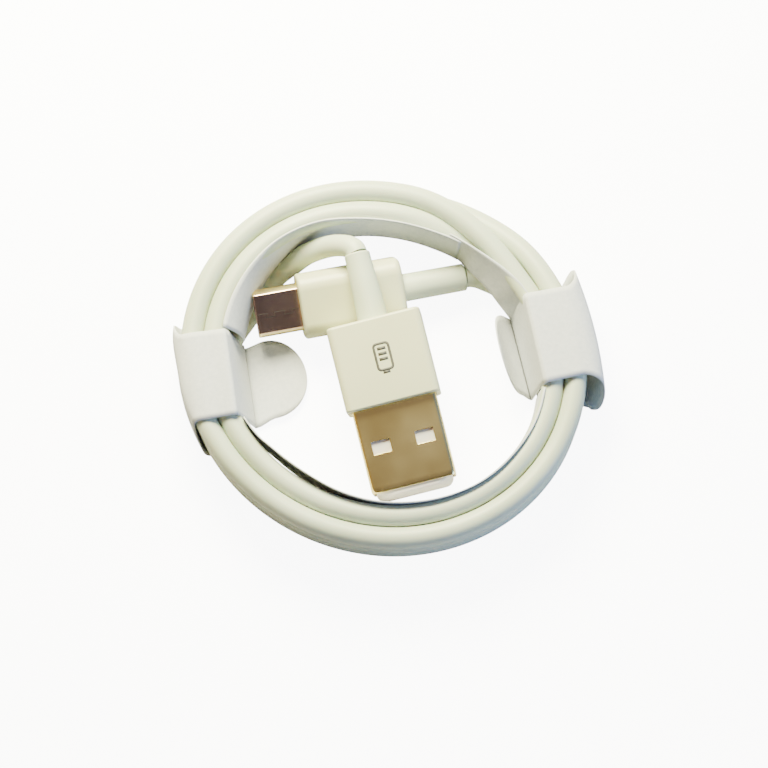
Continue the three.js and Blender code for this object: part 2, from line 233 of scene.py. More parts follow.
# The stainless's pinkish brown base colour is a painted reflection of a maroon table top.
STAINLESS_PAINTED_REFLECTION = plated_metal("stainless_sheet_painted_table_reflection", "#c2a296", "#d2b5a6", 0.22, 0.2)
GOLD = plated_metal("gold_flashed_contact", "#d0a040", "#e2b85a", 0.2, 0.05)
CRIMP_STEEL = plated_metal("crimped_steel", "#a8acb0", "#bcc0c4", 0.3, 0.15)


# %% [markdown]
# ## Paper, ink and wire insulation
# The wrapper is smooth white card. Its fibres are too fine to see, so the mottle here is drawn
# coarser than life, about half a millimetre. The printed mark is a matt grey ink.


# %% Paper, ink and wires
def smooth_card():
    material, tree, shader = start_material(
        "smooth_white_card", Roughness=0.82, IOR=1.45, Sheen_Weight=0.05, Sheen_Roughness=0.6
    )
    mottle = object_noise(tree, 1800, 4)
    fibre = object_noise(tree, 3600, 3, (1, 5, 1), 0.4)
    wire_up(
        tree,
        shader,
        Base_Color=two_tones(tree, mottle.outputs[0], "#cbcfd2", "#d8dadc"),
        Normal=bumps(tree, fibre.outputs[0], 0.22, 0.00003),
    )
    return material


def flat_finish(name, low, high, roughness):
    material, tree, shader = start_material(name)
    grain = object_noise(tree, 4000, 3)
    wire_up(
        tree,
        shader,
        Base_Color=two_tones(tree, grain.outputs[0], low, high),
        Roughness=spread(tree, grain.outputs[0], roughness, roughness + 0.12),
    )
    return material


CARD = smooth_card()
INK = flat_finish("grey_pad_print_ink", "#4c4c44", "#5a5a50", 0.55)
SEAM_DARK = flat_finish("shadow_in_a_butt_seam", "#241c18", "#302622", 0.7)
WIRE_COLOURS = [
    flat_finish("red_pvc_wire", "#a82218", "#c03226", 0.35),
    flat_finish("white_pvc_wire", "#e4e4e0", "#f0f0ee", 0.35),
    flat_finish("green_pvc_wire", "#1e7040", "#2e8b57", 0.35),
    flat_finish("black_pvc_wire", "#141414", "#242424", 0.35),
]
print("materials:", len(bpy.data.materials))

# %% [markdown]
# ## Helpers for meshes
# Most pieces here are lofts: a row of closed sections with the same number of points, joined by
# quads. A sleeve is a loft of circles, a housing a loft of rounded rectangles, and a sheet of paper
# a grid of points that is given its thickness afterwards.


# %% Mesh helpers
def make_object(name, points, faces, material, place=None):
    mesh = bpy.data.meshes.new(name)
    place = place or Matrix.Identity(4)
    mesh.from_pydata([place @ Vector(p) * MM for p in points], [], faces)
    mesh.materials.append(material)
    obj = bpy.data.objects.new(name, mesh)
    bpy.context.scene.collection.objects.link(obj)
    work = bmesh.new()
    work.from_mesh(mesh)
    bmesh.ops.remove_doubles(work, verts=work.verts, dist=1e-7)
    bmesh.ops.recalc_face_normals(work, faces=work.faces)
    work.to_mesh(mesh)
    work.free()
    mesh.shade_smooth()
    mesh.set_sharp_from_angle(angle=38 * DEG)
    return obj


def grid_faces(rows, columns, close_rows=False, close_columns=False):
    faces = []
    for i in range(rows - (not close_rows)):
        for j in range(columns - (not close_columns)):
            k, m = (i + 1) % rows, (j + 1) % columns
            faces.append((i * columns + j, i * columns + m, k * columns + m, k * columns + j))
    return faces


def loft(name, sections, material, place=None, ring=False):
    count = len(sections[0])
    faces = grid_faces(len(sections), count, close_rows=ring, close_columns=True)
    if not ring:
        faces.append(tuple(range(count)))
        faces.append(tuple(range((len(sections) - 1) * count, len(sections) * count)))
    return make_object(name, [p for s in sections for p in s], faces, material, place)


def rounded_section(x, width, height, radius, steps=8):
    points = []
    corners = [(1, 1, 0), (-1, 1, 90), (-1, -1, 180), (1, -1, 270)]
    for side, top, start in corners:
        for i in range(steps + 1):
            angle = (start + 90 * i / steps) * DEG
            y = side * (width / 2 - radius) + radius * math.cos(angle)
            z = top * (height / 2 - radius) + radius * math.sin(angle)
            points.append((x, y, z))
    return points


def circle_section(x, radius, steps=8):
    return rounded_section(x, 2 * radius, 2 * radius, radius * 0.999, steps)


def add_modifier(obj, kind, **settings):
    modifier = obj.modifiers.new(kind.lower(), kind)
    for key, value in settings.items():
        setattr(modifier, key, value)
    return modifier


def plug_place(at, heading, pitch, roll):
    turn = Matrix.Rotation(heading * DEG, 4, "Z")
    turn = turn @ Matrix.Rotation(-pitch * DEG, 4, "Y") @ Matrix.Rotation(-roll * DEG, 4, "X")
    return Matrix.Translation(Vector(at)) @ turn


def smooth_line(points, steps):
    """A Catmull-Rom line through the points, with its ends held straight."""
    knots = [Vector(p) for p in points]
    knots = [2 * knots[0] - knots[1], *knots, 2 * knots[-1] - knots[-2]]
    line = []
    for a, b, c, d in zip(knots, knots[1:], knots[2:], knots[3:]):
        for i in range(steps):
            t = i / steps
            line.append(
                0.5
                * (
                    2 * b
                    + (c - a) * t
                    + (2 * a - 5 * b + 4 * c - d) * t**2
                    + (3 * b - a - 3 * c + d) * t**3
                )
            )
    line.append(knots[-2])
    return line


def ease(value, start, end):
    t = min(max((value - start) / (end - start), 0), 1)
    return t * t * (3 - 2 * t)


def mix(a, b, t):
    return a + (b - a) * t


# %% [markdown]
# ## The cord's route
# The coil is an oval that leans towards one corner, so its outer radius is a circle with a small
# wave. Six strands fill its section, two wide and three high. The cord runs round one place for a
# turn, and then moves on to the next where the strands cross under the paper at the right.

# %% The cord's route
CORD_R = 1.55
LAYERS = (2.15, 5.25, 8.35)
INNER_SHIFT = 4.65
OUTER_SHIFT = 1.55

TYPE_A_LEAD = [
    (-0.94, 15.45, 10.35),
    (-1.2, 16.3, 10.2),
    (-2.1, 17.1, 9.6),
    (-3.9, 17.9, 8.1),
    (-5.9, 18.25, 6.4),
    (-7.9, 18.2, 4.9),
    (-10, 17.6, 3.2),
    (-12, 16.9, 2.1),
    (-14.7, 15.1, 1.62),
    (-16.6, 12.9, 1.6),
    (-17.4, 11.6, 1.6),
]
MICRO_B_LEAD = [
    (14.0, 11.5, 3.2),
    (14.9, 11.45, 3.0),
    (15.9, 11.2, 2.6),
    (16.7, 10.8, 2.3),
]


def coil_edge(angle):
    """The radius of the coil's outer side at an angle in degrees."""
    wave = 1.31 * math.cos(2 * (angle + 31.4) * DEG)
    return 27.41 + wave + 0.14 * math.cos(3 * (angle - 0.8) * DEG)


# Each strand's place: how far it lies in from the coil's edge, and how high.
PLACES = [
    (INNER_SHIFT, LAYERS[0]),
    (INNER_SHIFT, LAYERS[1]),
    (INNER_SHIFT, LAYERS[2]),
    (OUTER_SHIFT, LAYERS[2]),
    (OUTER_SHIFT, LAYERS[1]),
    (OUTER_SHIFT, LAYERS[0]),
]
# Where it moves on to the next place, in degrees of the turn. The upper strands move first.
CROSSINGS = [(30, 86), (24, 80), (16, 72), (8, 64), (0, 56)]
COIL_START = 150
COIL_END = 6 * 360 - 14


def on_coil(total):
    """A point on the coil, with the angle counted on from turn to turn."""
    inset, height = PLACES[0]
    for turn, (start, end) in enumerate(CROSSINGS, 1):
        share = ease(total - 360 * turn, start, end)
        inset = mix(inset, PLACES[turn][0], share)
        height = mix(height, PLACES[turn][1], share)
    bulge = 0.55 * (ease(total - 1440, 10, 34) - ease(total - 1440, 52, 84))
    arrive = max(0, 1 - (total - 146) / 39) ** 1.3 if total < 185 else 0
    radius = coil_edge(total) - inset + bulge - 3.2 * arrive
    height -= 0.55 * arrive
    return (radius * math.cos(total * DEG), radius * math.sin(total * DEG), height)


def leaving(total):
    """The last stretch, which turns inwards through the lowest layer, beside the right wrap."""
    share = ease(total - 6 * 360, -14, 26)
    radius = mix(coil_edge(total) - OUTER_SHIFT, 21.3, share)
    height = mix(LAYERS[0], 1.65, share)
    return (radius * math.cos(total * DEG), radius * math.sin(total * DEG), height)


def cord_route():
    coil = [on_coil(a) for a in range(COIL_START, COIL_END, 5)]
    exit_turn = [leaving(6 * 360 + a) for a in range(-14, 25, 6)]
    bend = [(20.0, 8.0, 1.7), (18.6, 9.6, 1.85)]
    rest = coil + exit_turn[:-1] + bend + MICRO_B_LEAD[::-1]
    return smooth_line(TYPE_A_LEAD + rest[1:], 4)


def line_length(line):
    return sum((b - a).length for a, b in zip(line, line[1:]))


ROUTE = cord_route()
print("cord length, mm:", round(line_length(ROUTE)))

# %% [markdown]
# ## The cord
# Geometry Nodes sweep a circle along the route: one curve in, one smooth tube out. The same tree
# would make a thicker or a finer cord, because its radius and its number of sides are inputs. It
# also stores a UV map, so that a pattern could follow the jacket.


# %% The cord
def sweep_tree():
    tree = bpy.data.node_groups.new("sweep_a_round_jacket", "GeometryNodeTree")
    face = tree.interface
    face.new_socket("Route", in_out="INPUT", socket_type="NodeSocketGeometry")
    face.new_socket("Radius", in_out="INPUT", socket_type="NodeSocketFloat")
    face.new_socket("Sides", in_out="INPUT", socket_type="NodeSocketInt")
    face.new_socket("Jacket", in_out="INPUT", socket_type="NodeSocketMaterial")
    face.new_socket("Tube", in_out="OUTPUT", socket_type="NodeSocketGeometry")
    given = add_node(tree, "NodeGroupInput").outputs
    along = add_node(tree, "GeometryNodeSplineParameter")
    route = add_node(tree, "GeometryNodeCaptureAttribute", {0: given["Route"]}, domain="POINT")
    route.capture_items.new("FLOAT", "length")
    tree.links.new(along.outputs["Length"], route.inputs[1])
    ring = add_node(
        tree,
        "GeometryNodeCurvePrimitiveCircle",
        {"Resolution": given["Sides"], "Radius": given["Radius"]},
    )
    around = add_node(tree, "GeometryNodeCaptureAttribute", {0: ring.outputs[0]}, domain="POINT")
    around.capture_items.new("FLOAT", "turn")
    tree.links.new(along.outputs["Factor"], around.inputs[1])
    tube = add_node(
        tree,
        "GeometryNodeCurveToMesh",
        {"Curve": route.outputs[0], "Profile Curve": around.outputs[0], "Fill Caps": True},
    )
    pair = add_node(
        tree, "ShaderNodeCombineXYZ", {"X": route.outputs[1], "Y": around.outputs[1]}
    )
    stored = add_node(
        tree,
        "GeometryNodeStoreNamedAttribute",
        {"Geometry": tube.outputs[0], "Name": "UVMap", "Value": pair.outputs[0]},
        data_type="FLOAT2",
        domain="CORNER",
    )
    whole = add_node(tree, "GeometryNodeRealizeInstances", {"Geometry": stored.outputs[0]})
    coated = add_node(
        tree,
        "GeometryNodeSetMaterial",
        {"Geometry": whole.outputs[0], "Material": given["Jacket"]},
    )
    add_node(tree, "NodeGroupOutput", {0: coated.outputs[0]})
    return tree


def sweep(name, line, radius, sides, material):
    curve = bpy.data.curves.new(name + "_route", "CURVE")
    curve.dimensions = "3D"
    spline = curve.splines.new("POLY")
    spline.points.add(len(line) - 1)
    for point, place in zip(spline.points, line):
        point.co = (*(place * MM), 1)
    guide = bpy.data.objects.new(name + "_route", curve)
    bpy.context.scene.collection.objects.link(guide)
    modifier = guide.modifiers.new("sweep", "NODES")
    modifier.node_group = SWEEP
    values = {"Radius": radius * MM, "Sides": sides, "Jacket": material}
    for item in SWEEP.interface.items_tree:
        if item.name in values:
            modifier[item.identifier] = values[item.name]
    seen = guide.evaluated_get(bpy.context.evaluated_depsgraph_get())
    mesh = bpy.data.meshes.new_from_object(seen)
    mesh.name = name
    bpy.data.objects.remove(guide)
    piece = bpy.data.objects.new(name, mesh)
    bpy.context.scene.collection.objects.link(piece)
    mesh.shade_smooth()
    mesh.set_sharp_from_angle(angle=60 * DEG)
    return piece


SWEEP = sweep_tree()
cord = sweep("cord", ROUTE, CORD_R, 32, CORD_WHITE)
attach(cord, ROOT)
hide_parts("cable_coil", "type_a_lead", "micro_b_lead")
print("cord faces:", len(cord.data.polygons))

# %% [markdown]
# ## Plug housings
# Each housing is a hollow moulding: its outside runs back from the mouth to the rear wall, turns in
# to the bore, and comes forward again inside. One ring of sections makes it a closed solid. The
# edges are rounded by short steps in size, as a mould's are.

# %% Plug housings
TYPE_A = plug_place((0.58, -6.27, 8.45), -86, -5, -5)
MICRO_B = plug_place((-10.07, 10.78, 4.9), 181.7, 4, 22)


def edge_steps(radius, steps=5):
    """Pairs of how far in and how far along, round a quarter circle."""
    for i in range(steps + 1):
        angle = 90 * DEG * i / steps
        yield radius * (1 - math.sin(angle)), radius * (1 - math.cos(angle))


def housing(name, place, length, width, height, edge, end_edge, mouth, pocket):
    mouth_w, mouth_h, mouth_r = mouth
    sections = [rounded_section(0, mouth_w, mouth_h, mouth_r)]
    for inset, along in edge_steps(end_edge * 0.5):
        size = (width - 2 * inset, height - 2 * inset, edge - inset * 0.6)
        sections.append(rounded_section(-along, *size))
    for inset, along in reversed(list(edge_steps(end_edge))):
        size = (width - 2 * inset, height - 2 * inset, edge - inset * 0.6)
        sections.append(rounded_section(-length + along, *size))
    sections.append(circle_section(-length, 2.15))
    sections.append(circle_section(-pocket, 2.15))
    sections.append(rounded_section(-pocket, mouth_w, mouth_h, mouth_r))
    piece = loft(name, sections, HOUSING_WHITE, place, ring=True)
    add_modifier(piece, "WEIGHTED_NORMAL", keep_sharp=True)
    return piece


type_a_body = housing(
    "type_a_housing_moulding", TYPE_A, 12.15, 13.4, 7.0, 1.0, 0.45, (12.2, 4.7, 0.6), 11
)
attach(type_a_body, ROOT)
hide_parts("type_a_housing")

micro_b_body = housing(
    "micro_b_housing_moulding", MICRO_B, 15, 9.3, 6.0, 2.3, 0.9, (7.05, 2.0, 0.5), 13.2
)
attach(micro_b_body, ROOT)
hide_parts("micro_b_housing")


# %% [markdown]
# ## Strain reliefs
# A sleeve of soft plastic keeps the cord from kinking where it leaves the plug. It tapers a
# little, and ends in a soft rounded lip.


# %% Strain reliefs
def sleeve(name, place, profile, node):
    sections = [circle_section(x, r, 12) for x, r in profile]
    piece = loft(name, sections, CORD_WHITE, place, ring=True)
    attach(piece, ROOT)
    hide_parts(node)
    return piece


def relief_profile(start, end, root_r, end_r, lip, bore):
    profile = [(start, bore), (start, root_r - 0.1), (start - 0.1, root_r)]
    for i in range(1, 8):
        share = i / 8
        profile.append((mix(start, end + 0.7, share), mix(root_r, end_r, share**0.8)))
    profile.append((end + 0.55, end_r + lip * 0.6))
    profile.append((end + 0.3, end_r + lip))
    for inset, along in reversed(list(edge_steps(0.25))):
        profile.append((end + along, end_r + lip - inset))
    profile.append((end, bore))
    return profile


type_a_sleeve = sleeve(
    "type_a_relief_sleeve",
    TYPE_A,
    relief_profile(-12.0, -21.95, 2.25, 1.8, 0.02, 1.56),
    "type_a_strain_relief",
)
micro_b_sleeve = sleeve(
    "micro_b_relief_sleeve",
    MICRO_B,
    relief_profile(-14.9, -24.1, 2.0, 1.95, 0.0, 1.56),
    "micro_b_strain_relief",
)


# %% [markdown]
# ## Metal tubes
# Both tubes start as flat strip that is rolled up, so they are made here as one sheet with square
# windows left out of its grid, and then thickened. A small bevel softens the sheared edges, and
# those edges are what catches the light.


# %% Metal tubes
def tube_sheet(name, place, outline, stations, windows, wall, bevel, material):
    """outline: (y, z) points round the tube; windows: (x range, y range, side of z)."""
    points = []
    for x, inset in stations:
        for y, z in outline:
            points.append((x, y - math.copysign(min(inset, abs(y)), y), z - math.copysign(inset, z)))
    faces = []
    for face in grid_faces(len(stations), len(outline), close_columns=True):
        middle = [sum(points[i][axis] for i in face) / 4 for axis in range(3)]
        inside = any(
            x0 < middle[0] < x1 and y0 < middle[1] < y1 and middle[2] * side > 0.85 * height
            for (x0, x1), (y0, y1), side, height in windows
        )
        if not inside:
            faces.append(face)
    piece = make_object(name, points, faces, material, place)
    add_modifier(piece, "SOLIDIFY", thickness=wall * MM, offset=-1, use_even_offset=True)
    add_modifier(
        piece, "BEVEL", width=bevel * MM, segments=3, limit_method="ANGLE", angle_limit=50 * DEG
    )
    add_modifier(piece, "WEIGHTED_NORMAL", keep_sharp=False)
    return piece


def type_a_outline():
    corner = [(y, z) for _, y, z in rounded_section(0, 12, 4.5, 0.6, 6)]
    quarter = len(corner) // 4
    lines = [4.4, 1.8, -1.8, -4.4]
    top = [(y, 2.25) for y in lines]
    bottom = [(-y, -2.25) for y in lines]
    return (
        corner[:quarter]
        + top
        + corner[quarter : 3 * quarter]
        + bottom
        + corner[3 * quarter :]
    )


NEAR, FAR = 11.8 - 5.3 - 1.85, 11.8 - 5.3
TYPE_A_WINDOWS = [
    ((NEAR, FAR), (side * 3.1 - 1.3, side * 3.1 + 1.3), face, 2.25)
    for side in (1, -1)
    for face in (1, -1)
]
type_a_tube = tube_sheet(
    "type_a_metal_tube_pressing",
    TYPE_A,
    type_a_outline(),
    [(-7, 0), (-1, 0), (NEAR, 0), (FAR, 0), (10.9, 0), (11.5, 0.03), (11.8, 0.14)],
    TYPE_A_WINDOWS,
    0.3,
    0.06,
    WARM_PAINTED_NICKEL,
)
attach(type_a_tube, ROOT)
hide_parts("type_a_metal_tube")


def micro_b_outline():
    w, h, bevel = 3.425, 0.9, 0.7
    slot_edges = [2.9, 1.9, -1.9, -2.9]
    bottom = [(-y, -h) for y in slot_edges]
    return [
        (w, -h + 0.25),
        (w, h - 1.1),
        (w - 0.12, h - 0.85),
        (w - bevel + 0.12, h - 0.06),
        (w - bevel - 0.12, h),
        (-w + bevel + 0.12, h),
        (-w + bevel - 0.12, h - 0.06),
        (-w + 0.12, h - 0.85),
        (-w, h - 1.1),
        (-w, -h + 0.25),
        (-w + 0.08, -h + 0.07),
        (-w + 0.25, -h),
        *bottom,
        (w - 0.25, -h),
        (w - 0.08, -h + 0.07),
    ]


micro_b_tube = tube_sheet(
    "micro_b_metal_tube_pressing",
    MICRO_B,
    micro_b_outline(),
    [(-5, 0), (-1, 0), (3.3, 0), (5.2, 0), (5.9, 0), (6.25, 0.02), (6.4, 0.07)],
    [((3.3, 5.2), (s * 2.4 - 0.5, s * 2.4 + 0.5), -1, 0.9) for s in (1, -1)],
    0.25,
    0.05,
    STAINLESS_PAINTED_REFLECTION,
)
# Painted highlight: faces that don't face the plug's top or bottom take the warm nickel colour, and
# the flat faces keep the stainless with its painted table reflection.
micro_b_tube.data.materials.append(WARM_PAINTED_NICKEL)
PLUG_UP = MICRO_B.to_3x3() @ Vector((0, 0, 1))
for face in micro_b_tube.data.polygons:
    face.material_index = int(abs(face.normal.dot(PLUG_UP)) < 0.93)
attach(micro_b_tube, ROOT)
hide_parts("micro_b_metal_tube")


# %% [markdown]
# ## The micro-B tube's seam
# The strip's two edges meet along the narrow face and are locked by two small dovetails. The gap
# is only a dark hairline, so it is a ribbon laid a few microns above the metal.


# %% Seam
def ribbon(name, place, line, width, height, material, closed=False):
    """A flat ribbon along (x, y) points at a height, with mitred corners."""
    flat = [Vector((x, y)) for x, y in line]
    points = []
    for i, p in enumerate(flat):
        before = flat[i - 1] if closed or i else p
        after = flat[(i + 1) % len(flat)] if closed or i + 1 < len(flat) else p
        into = (p - before).normalized() if p != before else (after - p).normalized()
        out = (after - p).normalized() if p != after else into
        along = (into + out).normalized()
        across = Vector((-along.y, along.x))
        reach = width / 2 / max(0.35, across.dot(Vector((-into.y, into.x))))
        for side in (1, -1):
            q = p + across * reach * side
            points.append((q.x, q.y, height))
    faces = grid_faces(len(flat), 2, close_rows=closed)
    piece = make_object(name, points, faces, material, place)
    add_modifier(piece, "SOLIDIFY", thickness=0.02 * MM, offset=0)
    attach(piece, ROOT)
    return piece


def dovetail(x, side):
    return [(x - 0.45, 0), (x - 0.65, 0.55 * side), (x + 0.65, 0.55 * side), (x + 0.45, 0)]


seam = ribbon(
    "micro_b_tube_seam",
    MICRO_B,
    [(0.1, 0), *dovetail(1.8, 1), *dovetail(4.3, 1), (6.3, 0)],
    0.09,
    0.9,
    SEAM_DARK,
)


# %% [markdown]
# ## The printed mark
# A plain battery outline is pad-printed on the flat of the type-A housing.


# %% Printed mark
def battery_outline(centre_x, centre_y, length, width, radius):
    corners = rounded_section(0, length, width, radius, 4)
    return [(centre_x + y, centre_y + z) for _, y, z in corners]


MARK_X, MARK_Y = -6.2, 0.2
MARK_HEIGHT = 3.505
mark = ribbon(
    "battery_mark", TYPE_A, battery_outline(MARK_X - 0.2, MARK_Y, 3.7, 2.1, 0.45), 0.34, MARK_HEIGHT,
    INK, closed=True,
)
mark_tip = ribbon(
    "battery_mark_tip", TYPE_A, [(MARK_X + 2.0, MARK_Y - 0.5), (MARK_X + 2.0, MARK_Y + 0.5)],
    0.4, MARK_HEIGHT, INK,
)
mark_bars = [
    ribbon(
        f"battery_mark_bar_{i + 1}",
        TYPE_A,
        [(MARK_X - 1.35 + 0.75 * i, MARK_Y - 0.6), (MARK_X - 1.35 + 0.75 * i, MARK_Y + 0.6)],
        0.42,
        MARK_HEIGHT,
        INK,
    )
    for i in range(3)
]

# %% [markdown]
# ## The type-A tongue
# The tongue is a plate of white PBT in the upper half of the tube, with a thick root. Its white top
# shows through the two windows, and its sloping front stands a little out of the tube's mouth.


# %% Type-A tongue
def plate(name, place, outline, low, high, bevel, material):
    count = len(outline)
    points = [(x, y, low) for x, y in outline] + [(x, y, high) for x, y in outline]
    faces = grid_faces(2, count, close_columns=True)
    faces += [tuple(range(count)), tuple(range(count, 2 * count))]
    piece = make_object(name, points, faces, material, place)
    add_modifier(
        piece, "BEVEL", width=bevel * MM, segments=3, limit_method="ANGLE", angle_limit=50 * DEG
    )
    add_modifier(piece, "WEIGHTED_NORMAL", keep_sharp=False)
    return piece


def tongue_outline(back, tip, half_width, radius):
    points = [(back, -half_width)]
    for start, side in ((-90, -1), (0, 1)):
        for i in range(9):
            angle = (start + 90 * i / 8) * DEG
            centre = (tip - radius, side * (half_width - radius))
            points.append(
                (centre[0] + radius * math.cos(angle), centre[1] + radius * math.sin(angle))
            )
    points.append((back, half_width))
    return points


def sloping_tongue():
    """The tongue's top ends in an arc. Its front slopes down and out to a squarer lower edge."""
    levels = [(1.85, 12.25, 2.6, 5.25), (1.82, 12.4, 2.5, 5.38), (1.7, 12.52, 2.4, 5.45)]
    levels += [(0.3, 13.05, 1.3, 5.5), (0.12, 13.08, 1.25, 5.5), (0.1, 13.0, 1.25, 5.45)]
    sections = [
        [(x, y, z) for x, y in tongue_outline(2.3, tip, half, radius)]
        for z, tip, radius, half in levels
    ]
    piece = loft("type_a_tongue_moulding", sections, TONGUE_WHITE, TYPE_A)
    add_modifier(piece, "WEIGHTED_NORMAL", keep_sharp=True)
    return piece


type_a_tongue = sloping_tongue()
type_a_root = plate(
    "type_a_tongue_root", TYPE_A, [(-6.4, -5.5), (2.3, -5.5), (2.3, 5.5), (-6.4, 5.5)], -1.85,
    1.85, 0.1, TONGUE_WHITE,
)
for piece in (type_a_tongue, type_a_root):
    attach(piece, ROOT)
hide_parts("type_a_insulator")

# %% [markdown]
# ## Inner parts
# The contacts, wires, moulds and clamp ring keep the CAD model's shape. Each only needs its finish:
# gold flash on the contacts, plain plastics on the rest.


# %% Finishes of the inner parts
def finish_node(node, material):
    obj = bpy.data.objects[node]
    obj.data.materials.clear()
    obj.data.materials.append(material)


for i in range(1, 5):
    finish_node(f"type_a_contact_{i}", GOLD)
    finish_node(f"type_a_wire_{i}", WIRE_COLOURS[i - 1])
    finish_node(f"micro_b_wire_{i}", WIRE_COLOURS[i - 1])
for i in range(1, 6):
    finish_node(f"micro_b_contact_{i}", GOLD)
for node in ("micro_b_latch_left", "micro_b_latch_right"):
    finish_node(node, STAINLESS_PAINTED_REFLECTION)
for node in ("type_a_inner_mould", "micro_b_inner_mould", "micro_b_insulator"):
    finish_node(node, INNER_WHITE if "mould" in node else TONGUE_WHITE)
for node in ("type_a_cord_end", "micro_b_cord_end"):
    finish_node(node, CORD_WHITE)
finish_node("type_a_crimp_ring", CRIMP_STEEL)

# %% [markdown]
# ## Sheets of paper
# Each panel is a grid of points: one way runs along the fold lines, and the other way runs round the
# bend. A row of stations gives the path round the bend and how wide the paper is there, and a smooth
# line is drawn through them. The grid is then given the card's thickness.

# %% Paper helper
CARD_THICKNESS = 0.2


def paper(name, grid, nodes, body=ROOT):
    rows, columns = len(grid), len(grid[0])
    piece = make_object(name, [p for row in grid for p in row], grid_faces(rows, columns), CARD)
    piece.data.set_sharp_from_angle(angle=70 * DEG)
    add_modifier(piece, "SOLIDIFY", thickness=CARD_THICKNESS * MM, offset=0)
    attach(piece, body)
    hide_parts(*nodes)
    return piece


def across_stations(stations, columns, steps):
    """stations: functions of a share from 0 to 1 across the paper, each giving (x, y, z)."""
    lines = []
    for j in range(columns + 1):
        share = j / columns
        lines.append(smooth_line([station(share) for station in stations], steps))
    return [[line[i] for line in lines] for i in range(len(lines[0]))]


def straight(start, end, height):
    """A straight fold line between two (x, y) points at a height."""
    return lambda s: (mix(start[0], end[0], s), mix(start[1], end[1], s), height)


def beside_coil(side, y_start, y_end, clear, height, flare=0):
    """A line that follows the coil's outer side at a distance, and flares out at its far end."""

    def place(s):
        y = mix(y_start, y_end, s)
        x = side * 25
        for _ in range(4):
            angle = math.degrees(math.atan2(y, x))
            radius = coil_edge(angle) + clear + flare * ease(s, 0.55, 1)
            x = side * math.sqrt(radius**2 - y**2)
        return (x, y, height)

    return place


# %% [markdown]
# ## Left wrap
# The paper comes up inside the coil, folds sharply over its inner edge, lies flat on top, and rolls
# down round the outside. Below the top panel it is wider, so its lower corners show beside the cord.

# %% Left wrap
left_wrap = paper(
    "left_wrap_card",
    across_stations(
        [
            straight((-19.09, -4.6), (-18.89, 7.6), 0.45),
            straight((-19.55, -4.5), (-19.4, 7.7), 2.6),
            straight((-20.75, -4.4), (-20.45, 7.95), 8.3),
            straight((-21.15, -4.35), (-20.85, 8.0), 9.9),
            straight((-21.36, -4.31), (-21.04, 8.05), 10.28),
            straight((-21.8, -4.3), (-21.5, 8.08), 10.4),
            straight((-23.4, -4.28), (-23.2, 8.17), 10.25),
            straight((-25.4, -4.25), (-25.4, 8.3), 10.2),
            straight((-26.9, -4.25), (-27.0, 8.4), 9.85),
            beside_coil(-1, -4.6, 9.0, 0.25, 8.9, 0.3),
            beside_coil(-1, -5.6, 10.4, 0.5, 7.0, 0.8),
            beside_coil(-1, -6.6, 11.2, 0.6, 4.5, 0.9),
            beside_coil(-1, -7.3, 11.4, 0.45, 1.6, 0.6),
            beside_coil(-1, -7.4, 11.1, -0.3, 0.35),
            straight((-26.2, -6.6), (-25.9, 10.2), 0.12),
            straight((-20.2, -4.6), (-20.0, 7.8), 0.12),
        ],
        16,
        5,
    ),
    ["left_wrap"],
)

# %% [markdown]
# ## Right wrap
# The right-hand fold stands off the coil: its outer wall bulges, and both of its ends are open.

# %% Right wrap
right_wrap = paper(
    "right_wrap_card",
    across_stations(
        [
            straight((20.3, -7.45), (19.55, 4.9), 0.75),
            straight((20.55, -7.45), (19.85, 5.1), 3.0),
            straight((21.3, -7.4), (20.85, 5.5), 8.2),
            straight((21.6, -7.38), (21.15, 5.65), 9.85),
            straight((21.84, -7.34), (21.39, 5.73), 10.25),
            straight((22.3, -7.3), (21.8, 5.75), 10.38),
            straight((24.3, -7.2), (24.1, 5.8), 10.3),
            straight((26.2, -7.1), (26.1, 5.85), 10.25),
            straight((27.55, -7.1), (27.4, 5.9), 10.1),
            straight((28.7, -7.7), (28.3, 6.7), 9.6),
            straight((29.65, -8.7), (28.95, 8.2), 8.3),
            straight((29.75, -10.1), (28.9, 9.0), 6.0),
            straight((29.2, -10.8), (28.5, 9.0), 3.4),
            straight((28.5, -10.4), (28.0, 8.6), 1.0),
            straight((27.4, -9.5), (27.0, 8.0), 0.14),
            straight((21.2, -7.4), (20.9, 5.2), 0.12),
        ],
        16,
        5,
    ),
    ["right_wrap"],
)


def bulge_outwards(piece, start, amount):
    """Bow a sheet's middle outwards, where it stands off the coil."""
    for vertex in piece.data.vertices:
        x, y, z = (c / MM for c in vertex.co)
        share = ease(x, start, start + 2) * max(0, 1 - ((y + 0.8) / 9.5) ** 2)
        vertex.co.x += amount * share * MM


bulge_outwards(right_wrap, 27.3, 0.75)

# %% [markdown]
# ## Tuck flaps
# Each flap is a rounded tongue beyond the crease. The left one lies almost flat on the table, and the
# right one stands up. They are grids too, whose rows close in to a round end.


# %% Tuck flaps
def flap_grid(place_of, depth, low_side, high_side, rows=18, columns=14):
    """low_side and high_side give the flap's two edges at a depth from its crease."""
    grid = []
    for i in range(rows + 1):
        along = depth * math.sin(90 * DEG * i / rows)
        low, high = low_side(along), high_side(along)
        grid.append([place_of(along, mix(low, high, j / columns)) for j in range(columns + 1)])
    return grid


def rounded_side(base, root, middle, radius, start):
    """An edge that runs from root to base, and then turns in as a quarter of an ellipse."""

    def edge(along):
        if along <= start:
            return mix(root, base, ease(along, 0, start))
        share = min(1, (along - start) / radius)
        return middle + (base - middle) * math.sqrt(max(0, 1 - share**2))

    return edge


def left_flap_place(along, y):
    curl = 0.35 + 0.3 * math.sin(along / 8.2 * math.pi) + 0.03 * along
    return (-18.98 + along + 0.012 * (y - 1.5), y, curl)


left_flap = paper(
    "left_flap_card",
    flap_grid(
        left_flap_place,
        8.3,
        rounded_side(-3.7, -4.6, 1.8, 5.2, 3.1),
        rounded_side(7.75, 7.2, 1.8, 5.2, 3.1),
    ),
    ["left_tuck_flap"],
    "left_flap",
)

